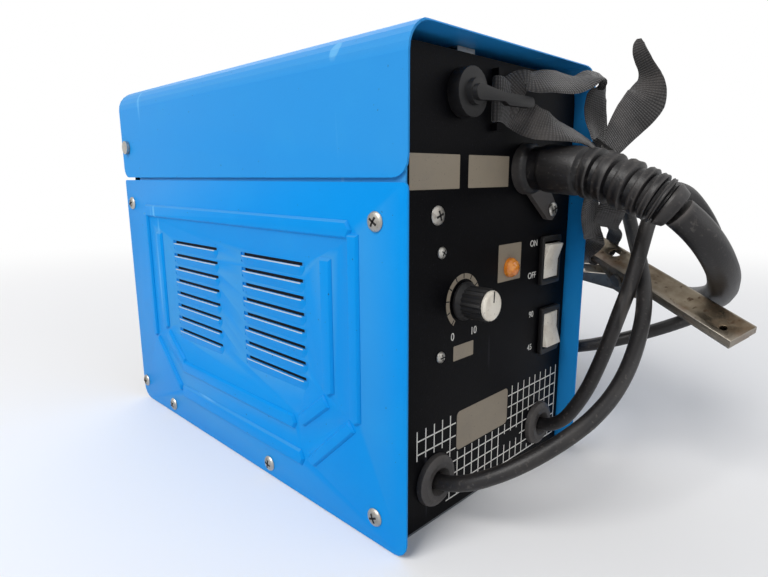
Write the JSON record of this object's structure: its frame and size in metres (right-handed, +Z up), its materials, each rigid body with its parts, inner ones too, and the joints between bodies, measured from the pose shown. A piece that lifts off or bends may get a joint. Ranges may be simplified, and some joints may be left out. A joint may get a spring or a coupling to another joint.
{
  "type": "portable welding machine",
  "caption": "Portable wire-feed welding machine with hinged lid, front controls, carrying strap, earth clamp lead, torch on its hose and a mains lead.",
  "frame": {"origin": "middle of the underside of the base pan", "axes": "+Z up, -Y towards the front panel, +X towards the right side as seen from the front"},
  "size_m": [0.4115, 0.5181, 0.2864],
  "materials": {
    "blue_paint": "gloss",
    "black_paint": "satin",
    "zinc_steel": "satin",
    "grey_steel": "satin",
    "dark_plastic": "satin",
    "ivory_plastic": "gloss",
    "amber_lens": "gloss",
    "red_plastic": "satin",
    "black_rubber": "matte",
    "cable_sheath": "matte",
    "webbing": "matte",
    "lamination": "matte",
    "enamelled_wire": "gloss",
    "bare_aluminium": "satin",
    "circuit_laminate": "satin",
    "torch_brass": "satin",
    "copper_tip": "satin",
    "welding_steel": "gloss"
  },
  "bodies": {
    "case": {"base_pan": "grey_steel", "left_side_panel": "blue_paint", "right_side_panel": "blue_paint", "front_panel": "black_paint", "rear_panel": "black_paint", "divider_panel": "grey_steel", "lid_pivot_screw_left": "zinc_steel", "lid_pivot_screw_right": "zinc_steel", "earth_grommet": "black_rubber", "mains_grommet": "black_rubber", "potentiometer": "grey_steel", "mains_switch_bezel": "dark_plastic", "range_switch_bezel": "dark_plastic", "thermal_lamp": "amber_lens", "strap_bracket": "black_paint", "transformer_core": "lamination", "primary_winding": "enamelled_wire", "secondary_winding": "enamelled_wire", "rectifier_heatsink": "bare_aluminium", "circuit_board": "circuit_laminate", "fan_frame": "dark_plastic", "feeder_plate": "dark_plastic", "feed_motor": "grey_steel", "spool_axle": "dark_plastic", "torch_boot": "black_rubber", "torch_hose": "cable_sheath", "earth_lead": "cable_sheath", "mains_lead": "cable_sheath", "mains_lead_coil": "cable_sheath", "torch_hose_coil": "cable_sheath", "mains_lead_end": "cable_sheath", "torch_hose_end": "cable_sheath", "mains_plug": "black_rubber", "torch_handle": "dark_plastic", "torch_neck": "torch_brass", "torch_nozzle": "torch_brass", "contact_tip": "copper_tip", "clamp_upper_arm": "zinc_steel", "clamp_rivet": "grey_steel", "clamp_spring": "grey_steel", "strap_sling": "webbing", "strap_loop": "webbing"},
    "lid": {"lid": "blue_paint", "lid_keeper": "zinc_steel"},
    "latch": {"latch_handle": "dark_plastic", "latch_cam": "zinc_steel"},
    "dial": {"dial_knob": "dark_plastic", "dial_cap": "ivory_plastic"},
    "mains_rocker": {"mains_switch_rocker": "ivory_plastic"},
    "range_rocker": {"range_switch_rocker": "ivory_plastic"},
    "fan": {"fan_rotor": "dark_plastic"},
    "drive_roller": {"drive_roller": "zinc_steel"},
    "pressure_arm": {"pressure_arm": "dark_plastic"},
    "pressure_roller": {"pressure_roller": "zinc_steel"},
    "tension_screw": {"tension_screw": "zinc_steel", "pressure_spring": "grey_steel"},
    "spool": {"wire_spool": "dark_plastic", "welding_wire": "welding_steel"},
    "torch_trigger": {"torch_trigger": "red_plastic"},
    "clamp_jaw": {"clamp_lower_arm": "zinc_steel"}
  },
  "joints": [
    {"name": "lid_hinge", "type": "hinge", "parent": "case", "child": "lid", "pos_m": [0, 0.157, 0.228], "axis": [-1, 0, 0], "range_deg": [0, 95]},
    {"name": "latch_turn", "type": "hinge", "parent": "case", "child": "latch", "pos_m": [-0.038, -0.155, 0.247], "axis": [0, 1, 0], "range_deg": [0, 90]},
    {"name": "dial_turn", "type": "hinge", "parent": "case", "child": "dial", "pos_m": [-0.032, -0.155, 0.132], "axis": [0, -1, 0], "range_deg": [-137, 143]},
    {"name": "mains_switch", "type": "hinge", "parent": "case", "child": "mains_rocker", "pos_m": [0.065, -0.155, 0.146], "axis": [1, 0, 0], "range_deg": [-18, 0]},
    {"name": "range_switch", "type": "hinge", "parent": "case", "child": "range_rocker", "pos_m": [0.069, -0.155, 0.095], "axis": [1, 0, 0], "range_deg": [0, 18]},
    {"name": "fan_spin", "type": "hinge", "parent": "case", "child": "fan", "pos_m": [-0.044, 0.135, 0.06], "axis": [0, 1, 0], "continuous": true},
    {"name": "spool_turn", "type": "hinge", "parent": "case", "child": "spool", "pos_m": [0.03, 0.042, 0.172], "axis": [1, 0, 0], "continuous": true},
    {"name": "drive_turn", "type": "hinge", "parent": "case", "child": "drive_roller", "pos_m": [0.03, -0.092, 0.192], "axis": [1, 0, 0], "continuous": true},
    {"name": "pressure_arm_lift", "type": "hinge", "parent": "case", "child": "pressure_arm", "pos_m": [0.01, -0.066, 0.222], "axis": [1, 0, 0], "range_deg": [-4, 0], "stiffness_Nm_per_rad": 2, "springref_deg": 5.73, "deforming": ["pressure_spring"]},
    {"name": "pressure_roller_turn", "type": "hinge", "parent": "pressure_arm", "child": "pressure_roller", "pos_m": [0.03, -0.092, 0.2192], "axis": [1, 0, 0], "continuous": true},
    {"name": "tension_screw_tilt", "type": "hinge", "parent": "case", "child": "tension_screw", "pos_m": [0.02, -0.116, 0.19], "axis": [1, 0, 0], "range_deg": [0, 25]},
    {"name": "trigger_pull", "type": "hinge", "parent": "case", "child": "torch_trigger", "pos_m": [0.1, 0.212, 0.017], "axis": [0, 0, 1], "range_deg": [-3, 0], "stiffness_Nm_per_rad": 0.6, "springref_deg": 2.86},
    {"name": "clamp_squeeze", "type": "hinge", "parent": "case", "child": "clamp_jaw", "pos_m": [0.10413, -0.1967, 0.13517], "axis": [0.8149, -0.4492, 0.3664], "range_deg": [0, 12], "stiffness_Nm_per_rad": 0.8, "springref_deg": -11.46}
  ],
  "couplings": [
    {"joint": "drive_turn", "follows": "spool_turn", "ratio": 2.6667},
    {"joint": "pressure_roller_turn", "follows": "spool_turn", "ratio": -3.6364}
  ]
}
